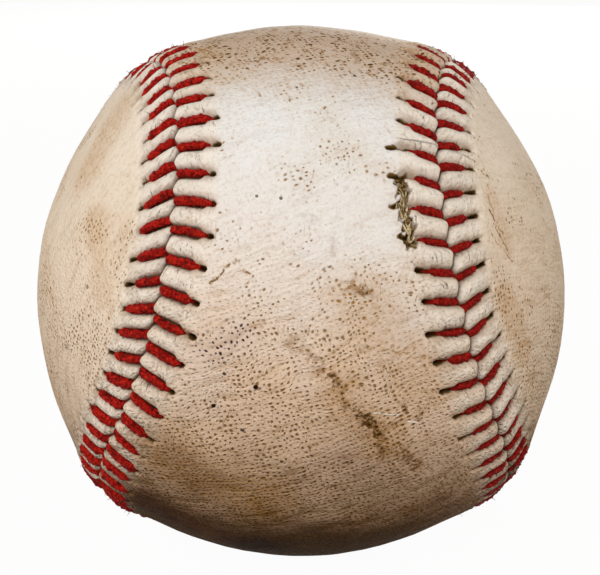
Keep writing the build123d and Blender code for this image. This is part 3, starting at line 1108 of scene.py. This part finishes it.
def mark_skin(look, marks):
    """Scuffs with filled pores, gritty stains, scratches, painted shade, a purplish patch and black specks.
    """
    node, place, pore = look.node, look.place, look.pore
    ragged = wavered(look, place, 0.9, 2.0)
    scuffed = marked(node, ragged, marks["scuff"])
    clumped = node("step", node("noise", place, 0.4, 4.0, 0.7), 0.38, 0.56)
    dotted = node("times", node("times", look.wide_pore, clumped), node("step", look.chance, 0.85, 0.5))
    blot = node("step", node("noise", place, 0.6, 6.0, 0.75), 0.54, 0.62)
    smudge = node("most", node("times", blot, 0.7), node("times", look.streak, 0.6))
    soiled = node("times", scuffed, node("most", smudge, dotted))
    lay(
        look,
        (scuffed, 0.5, "b27c22"),
        (soiled, 0.85, "b07c26"),
        (node("step", soiled, 0.4, 0.9, 0.0, 0.9), 1, "4c2e00"),
    )

    stain = marked(node, ragged, marks["brown"])
    smear = node("step", node("noise", place, 1.1, 6.0, 0.75), 0.4, 0.56)
    grains = node("times", node("minus", node("noise", place, 1.5, 5.0, 0.75), 0.5), 3.0)
    grit = node("plus", stain, node("plus", grains, node("times", pore, 0.25)))
    broken = node("step", node("noise", place, 1.3, 5.0, 0.75), 0.36, 0.52)
    scratched = node("times", marked(node, wavered(look, place, 0.7, 1.3), marks["scratch"]), broken)
    lay(
        look,
        (node("times", stain, smear), 0.8, "885a10"),
        (node("times", node("step", grit, 0.85, 1.2), stain), 0.9, "4a2f02"),
        (scratched, 1, "a2752c"),
        (node("step", scratched, 0.4, 0.8, 0.0, 0.7), 1, "5c3a06"),
    )

    # painted shade where these marks lie
    if "painted_shade" in marks:
        look.skin = node("multiply", marked(node, ragged, marks["painted_shade"]), look.skin, "7d5f3a")
    if "pale" in marks:
        lay(look, (marked(node, place, marks["pale"]), 1, "f2ece2"))
    if "bruise" in marks:
        bruised = marked(node, ragged, marks["bruise"])
        inked = node("times", node("step", pore, 0.2, 0.65), node("step", look.chance, 0.95, 0.6, 0.15, 1.0))
        lay(look, (bruised, 0.1, "947684"), (node("times", bruised, inked), 0.95, "34202f"))
    lay(look, (marked(node, wavered(look, place, 1.6, 0.25), marks["black"], 0.5), 1, "1c1006"))


# %% Leather along the seam
wrinkle_turn, wrinkle_size = 0.35, (1.5, 0.55, 1.0)
crack_turn, crack_size = 0.15, (1.5, 0.3, 1.0)
print("wrinkles, mm:", wrinkle_size[:2], "cracks, mm:", crack_size[:2])


def soil_seam(look):
    """Painted shade in the grooves, beside the stitches, in the holes and in the pits; wrinkled fingers; and
    torn leather that is tan and fibrous.
    """
    node, place, band = look.node, look.place, look.band
    masks = ("groove", "valley", "hole", "tear", "along", "pit")
    groove, valley, hole, tear, along_seam, pit = (node("mask", attribute_name=mask) for mask in masks)
    seam_map = node("joined", along_seam, look.off)
    wrinkled = node("drawn", wavered(look, seam_map, 0.9, 0.9), (0, 0, wrinkle_turn), wrinkle_size)
    look.wrinkle = node("noise", wrinkled, 1.0, 5.0, 0.68)
    cracked = node("drawn", wavered(look, seam_map, 1.4, 0.6), (0, 0, crack_turn), crack_size)
    crack = node("times", node("step", node("noise", cracked, 1.0, 3.0, 0.6), 0.6, 0.68), band)
    look.crack = node("times", crack, node("step", node("noise", place, 0.3, 2.0, 0.55), 0.45, 0.6))
    ragged_tear = node("plus", tear, node("times", node("noise", place, 1.6, 4.0, 0.7), 0.6))
    look.torn = node("step", ragged_tear, 0.6, 1.0)
    # the torn leather is tan; its darker patches are partly painted shade between the fibres
    shred = node("mix", node("step", node("noise", place, 2.6, 4.0, 0.55), 0.42, 0.6), "4a3418", "ab8c5e")
    open_pit = node("plus", pit, node("times", node("noise", place, 1.9, 4.0, 0.7), 0.5))
    lay(
        look,
        # painted shade beside the stitches and in the grooves between the fingers
        (valley, 0.6, "987044"),
        (node("step", groove, 0.2, 0.9), 0.9, "5c3a1e"),
        (node("times", node("step", look.wrinkle, 0.55, 0.66), band), 0.4, "8f6c42"),
        (look.crack, 0.8, "4a3018"),
        (look.torn, 1, shred),
        # painted shade in the torn pits and in the stitch holes
        (node("step", open_pit, 0.55, 0.85), 1, "6a5024"),
        (node("step", open_pit, 0.85, 1.2), 1, "33230c"),
        (node("step", hole, 0.15, 0.5), 1, "553c18"),
        (node("step", hole, 0.4, 0.9), 1, "1a1006"),
    )


# %% Leather finish
def leather_finish(name, whites, row_turn, dust, marks):
    """White alum-tanned leather: matt, with sunken pores and creases, stains, dirt and painted shade."""
    finish, node, place = new_finish(name)
    look = types.SimpleNamespace(node=node, place=place)
    gather_dirt(look)
    grow_grain(look, row_turn)
    colour_skin(look, whites, dust)
    mark_skin(look, marks)
    soil_seam(look)

    relief = node("times", node("times", look.pore, look.depth), -0.16)
    for part, height in (
        (look.pore_show, -0.05),
        (look.row, -0.06),
        (look.speckle, -0.04),
        (look.fine, 0.18),
        (look.swathes, -0.25),
        (look.hair, -0.05),
        (look.crack, -0.12),
        (node("times", look.wrinkle, look.band), -0.45),
    ):
        relief = node("plus", relief, node("times", part, height))
    shreds = node("times", node("noise", place, 2.5, 4.0, 0.7), 0.9)
    relief = node("plus", relief, node("times", look.torn, shreds))
    rough = node("step", look.fine, 0.3, 0.75, 0.6, 0.8)
    feed_shader(finish, node, look.skin, rough, relief, specular=0.03)
    return finish


leather_waist.data.materials.append(
    leather_finish("alum_tanned_leather_waist", waist_whites, row_turn=1.95, dust=0.7, marks=waist_marks)
)
leather_sides.data.materials.append(
    leather_finish("alum_tanned_leather_sides", side_whites, row_turn=0.5, dust=0.25, marks=side_marks)
)

# %% [markdown]
# ## Raw fibres
# The torn strands are the raw inside of the leather: khaki, dull and uneven along their length. One
# cloudy noise is enough for them, because they are thin.

# %% Torn fibre finish
def fibre_finish():
    """Raw leather fibres: dull khaki with darker dirt."""
    finish, node, place = new_finish("raw_leather_fibre")
    patch = node("noise", place, 1.8, 4.0, 0.65)
    skin = node("mix", node("step", patch, 0.35, 0.65), "7d6238", "dccaa0")
    feed_shader(finish, node, skin, node("step", patch, 0.3, 0.7, 0.75, 0.92), node("times", patch, 0.12))
    return finish


torn_fibres.data.materials.append(fibre_finish())

# %% [markdown]
# ## Waxed red cotton
# The thread is bright red where it is rubbed, and painted shade makes it very dark in its folds and on the
# sunken right seam. Wax makes small wet glints on it: lower roughness on the tufts gives the glints, and a
# pale red painted on the tuft tops adds to them. Fine noise breaks up the colour like short fibres.

# %% Thread finish
def thread_finish():
    """Waxed cotton: red fibres, with painted shade in folds and on the right seam, and painted glints."""
    finish, node, place = new_finish("waxed_red_cotton")
    tuft = node("noise", place, 2.9, 5.0, 0.7)
    worn = node("times", node("step", node("noise", place, 0.35, 2.0, 0.55), 0.5, 0.75), 0.4)
    fold_shade = node("times", node("step", node("noise", place, 1.2, 4.0, 0.65), 0.52, 0.64), 0.6)
    # painted shade: the thread darkens towards the right seam, where it lies sunk under the fingers
    right = node("step", node("split", place), 0.0, 14.0, 0.0, 0.35)
    red = node("mix", node("step", tuft, 0.38, 0.58), "680603", "d01d0e")
    for share, tint in (
        (worn, "cf2a18"),
        # painted highlight: pale red glints on the tuft tops
        (node("step", tuft, 0.58, 0.7, 0.0, 0.75), "e85a42"),
        # painted shade in the folds
        (fold_shade, "3c0202"),
        (right, "6a0705"),
    ):
        red = node("mix", share, red, tint)
    rough = node("step", tuft, 0.3, 0.7, 0.7, 0.45)
    feed_shader(finish, node, red, rough, node("times", tuft, 0.5), specular=0.12)
    return finish


red_cotton = thread_finish()
for thread in (thread_one, thread_two):
    thread.data.materials.append(red_cotton)

# %% [markdown]
# ## The core and the windings
# Nothing of the inside shows, but a part of a library is taken apart, so every layer gets its own finish:
# granular cork, matt rubbers, yarn that crosses itself in all directions, and a thin coat of cement.

# %% Cork, rubber and cement finishes
def grain_finish(name, dark, light, grain, low, high, rough, relief):
    """A mottled solid: cork crumbs, rubber or dried cement, by the size of its grain in mm."""
    finish, node, place = new_finish(name)
    crumb = node("cells", place, 1 / grain)
    mottle = node("noise", place, 2 / grain, 4.0, 0.55)
    spread = node("plus", node("times", mottle, 0.5), node("times", crumb, 0.5))
    skin = node("mix", node("step", spread, low, high), light, dark)
    roughness = node("step", spread, low, high, rough, rough + 0.15)
    feed_shader(finish, node, skin, roughness, node("times", spread, -relief))
    return finish


core_finishes = {
    "cork_core": grain_finish("cork_with_rubber", "5b3a1f", "b98a58", 1.6, 0.2, 0.6, 0.75, 0.3),
    "black_rubber_shell_upper": grain_finish("black_rubber", "0d0d0d", "262524", 0.8, 0.25, 0.6, 0.5, 0.05),
    "rubber_gasket": grain_finish("red_gasket_rubber", "5c1512", "8c2a22", 0.8, 0.25, 0.6, 0.5, 0.05),
    "red_rubber_jacket": grain_finish("red_rubber", "7a1d18", "a5362a", 0.9, 0.25, 0.6, 0.48, 0.06),
    "cement_coat": grain_finish("dried_rubber_cement", "b59a6a", "d9c79c", 2.4, 0.25, 0.6, 0.35, 0.06),
}
core_finishes["black_rubber_shell_lower"] = core_finishes["black_rubber_shell_upper"]

# %% Yarn finishes
strand_tilts = ((0.4, 0.9, 0.2), (1.6, 0.3, 1.1), (2.5, 1.4, 2.0))
# a Wave node at a scale of 1 draws about this many bands in a unit
bands_in_unit = 3.2


def yarn_finish(name, dark, light, yarn):
    """Wound yarn: strands of one width in mm that cross in three directions, with soft fuzz."""
    finish, node, place = new_finish(name)
    height = None
    for tilt in strand_tilts:
        laid = node("turned", place, tilt)
        wave = node("wave", laid, 1 / yarn / bands_in_unit, 1.2, 2.0, 0.6)
        patch = node("step", node("noise", laid, 0.11, 2.0, 0.55), 0.46, 0.54)
        height = wave if height is None else node("between", patch, height, wave)
    fuzz = node("noise", place, 4.0, 3.0, 0.7)
    spread = node("plus", node("times", height, 0.75), node("times", fuzz, 0.35))
    skin = node("mix", node("step", spread, 0.15, 0.85), dark, light)
    rough = node("step", fuzz, 0.2, 0.8, 0.8, 0.95)
    feed_shader(finish, node, skin, rough, node("times", spread, 0.4), sheen=0.25)
    return finish


for node_name, *yarn_values in (
    ("winding_1_grey_four_ply_wool", "grey_four_ply_wool", "4a4846", "8f8c88", 1.6),
    ("winding_2_white_three_ply_wool", "white_three_ply_wool", "a39c8e", "e6e0d2", 1.3),
    ("winding_3_grey_three_ply_wool", "grey_three_ply_wool", "55524f", "9d9a95", 1.3),
    ("winding_4_white_cotton", "white_cotton_thread", "b8b2a4", "efeae0", 0.5),
):
    core_finishes[node_name] = yarn_finish(*yarn_values)
for node_name, finish in core_finishes.items():
    node_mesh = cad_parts[node_name].data
    node_mesh.materials.clear()
    node_mesh.materials.append(finish)
print("core pieces finished:", len(core_finishes))

# %% [markdown]
# ## Tying the new pieces to the model
# Each new piece stands for the imported piece of the same place, which it hides, and rides on the one body
# of the ball. The torn fibres stand for no imported piece and only ride.

# %% Tie the pieces
for piece, node_name, slot in (
    (leather_waist, "cover_panel_waist", "leather"),
    (leather_sides, "cover_panel_sides", "leather"),
    (thread_one, "thread_one", "red_thread"),
    (thread_two, "thread_two", "red_thread"),
):
    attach(piece, "root")
    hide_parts(node_name)
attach(torn_fibres, "root")
print("pieces tied")

# %% [markdown]
# ## Floor and light
# A broad soft lamp stands before the ball and above it, two weaker ones light its sides and one its back,
# and a weak sky fills the shade. The underside stays dark. The floor looks white to the camera but gives
# back little light to the ball, and it keeps the ball's shadow.

# %% Lay the floor
floor_size = 6
floor_glow_share = 0.96


def seen_directly(node):
    """1 where the camera sees a surface, straight or by way of a mirror or glass."""
    path = node("light_path").node.outputs
    mirrored = node("most", path["Is Glossy Ray"], path["Is Transmission Ray"])
    return node("most", path["Is Camera Ray"], mirrored)


select_only()
bpy.ops.mesh.primitive_plane_add(size=floor_size, location=(0, 0, ball_bottom))
floor = bpy.context.object
floor.name = "floor"
bpy.ops.object.transform_apply(location=True)

floor_paper = bpy.data.materials.new("floor_paper")
floor_paper.use_nodes = True
floor_paper.node_tree.nodes.clear()
floor_node = functools.partial(add, floor_paper.node_tree)
floor_seen = seen_directly(floor_node)
paper = floor_node("diffuse", floor_node("mix", floor_seen, "56401f", "f4f2ee"))
paper_glow = floor_node("glow", "ffffff", 1.0)
glow_share = floor_node("times", floor_seen, floor_glow_share)
floor_node("surface", floor_node("mix_shader", glow_share, paper, paper_glow))
floor.data.materials.append(floor_paper)
print("floor at, mm:", round(ball_bottom / mm, 2))

# %% Light the ball
# the way to a lamp as right, up and back of the camera, its distance and size in m, its watts and its colour
lamps = {
    "key_lamp": ((-0.2, 0.26, 0.94), 0.9, 0.45, 5.7, "ffffff"),
    "left_lamp": ((-1.0, 0.08, 0.35), 0.8, 0.2, 2.0, "fff6ea"),
    "back_lamp": ((0.15, 0.38, -1.0), 0.9, 0.2, 4.0, "fff6ea"),
    "right_lamp": ((1.0, 0.1, 0.35), 0.8, 0.2, 2.2, "fff6ea"),
}
sky_strength = 0.27


def soft_lamp(name, direction, distance, size, power, tint):
    """A square lamp that faces the ball from a direction given as right, up and back of the camera."""
    way = unit(view_right * direction[0] + view_up * direction[1] + view_back * direction[2])
    bpy.ops.object.light_add(type="AREA", location=way * distance)
    lamp = bpy.context.object
    lamp.name = name
    lamp.data.size = size
    lamp.data.energy = power
    lamp.data.color = colour(tint)[:3]
    side_way = unit(np.cross((0, 0, 1), way))
    lamp.rotation_euler = Matrix(np.column_stack((side_way, np.cross(way, side_way), way))).to_euler()


for lamp_name, lamp_values in lamps.items():
    soft_lamp(lamp_name, *lamp_values)
world = bpy.context.scene.world or bpy.data.worlds.new("studio")
bpy.context.scene.world = world
world.use_nodes = True
world.node_tree.nodes.clear()
sky_node = functools.partial(add, world.node_tree)
sky_seen = seen_directly(sky_node)
sky_tint = sky_node("mix", sky_seen, "fff7ec", "ffffff")
sky_level = sky_node("step", sky_seen, 0.0, 1.0, sky_strength, 1.0)
sky_node("world", sky_node("background", sky_tint, sky_level))
bpy.context.scene.view_settings.view_transform = "Standard"
print("lamps:", len(lamps))
